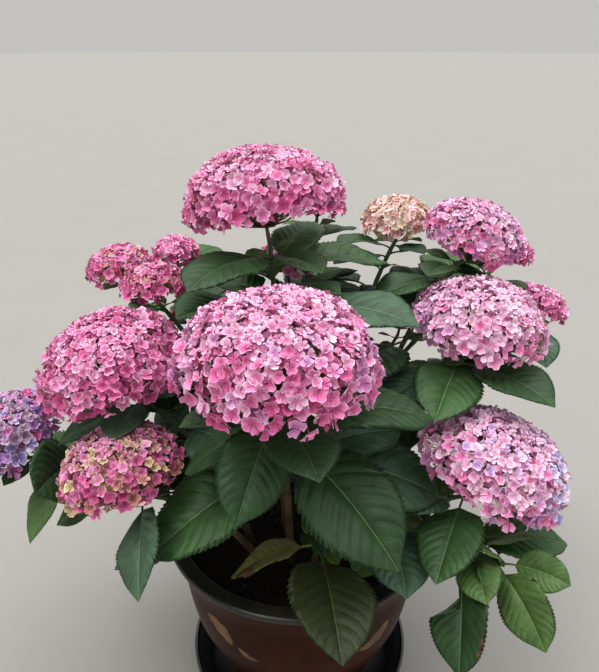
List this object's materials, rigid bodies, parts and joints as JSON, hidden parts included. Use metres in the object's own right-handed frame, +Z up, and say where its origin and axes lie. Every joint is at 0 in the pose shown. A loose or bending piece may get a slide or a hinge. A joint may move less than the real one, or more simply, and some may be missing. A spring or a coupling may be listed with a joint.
{
  "type": "potted hydrangea shrub",
  "caption": "Leafy mophead hydrangea with rounded pink flower heads, growing in a glazed round pot that stands in a shallow saucer.",
  "frame": {"origin": "middle of the saucer's flat underside", "axes": "+Z up, +X to the right and +Y away from someone looking at the front of the plant"},
  "size_m": [0.9862, 0.7554, 0.9667],
  "materials": {
    "saucer": "glossy black",
    "pot": "glossy red-brown glaze with a dark greenish-black rim and ochre strokes",
    "soil": "dark crumbly potting mix",
    "canes": "pale brown bark, matte",
    "leaves": "satin green leaves with paler veins",
    "petals": "matte pink petals, paler at their edges"
  },
  "bodies": {
    "root": {"saucer": "saucer", "pot": "pot", "soil": "soil", "cane_centre": "canes", "cane_left": "canes", "cane_left_low": "canes", "cane_far_left": "canes", "cane_top": "canes", "cane_right_up": "canes", "cane_peach": "canes", "cane_right": "canes", "cane_right_low": "canes", "cane_small": "canes", "cane_inner": "canes", "cane_back_left": "canes", "cane_back_mid": "canes", "cane_back_right": "canes", "cane_low_front": "canes", "leaves_centre": "leaves", "leaves_left": "leaves", "leaves_left_low": "leaves", "leaves_far_left": "leaves", "leaves_top": "leaves", "leaves_right_up": "leaves", "leaves_peach": "leaves", "leaves_right": "leaves", "leaves_right_low": "leaves", "leaves_small": "leaves", "leaves_inner": "leaves", "leaves_back_left": "leaves", "leaves_back_mid": "leaves", "leaves_back_right": "leaves", "leaves_low_front": "leaves", "head_centre": "petals", "head_left": "petals", "head_left_low": "petals", "head_far_left": "petals", "head_top": "petals", "head_right_up": "petals", "head_right_back": "petals", "head_peach": "petals", "head_right": "petals", "head_right_side": "petals", "head_right_low": "petals", "head_small_left": "petals", "head_small_mid": "petals", "head_small_back": "petals", "head_inner": "petals", "head_back": "petals", "head_back_left": "petals", "head_back_mid": "petals", "head_back_right": "petals", "head_low_left": "petals", "head_low_right": "petals"}
  },
  "joints": []
}
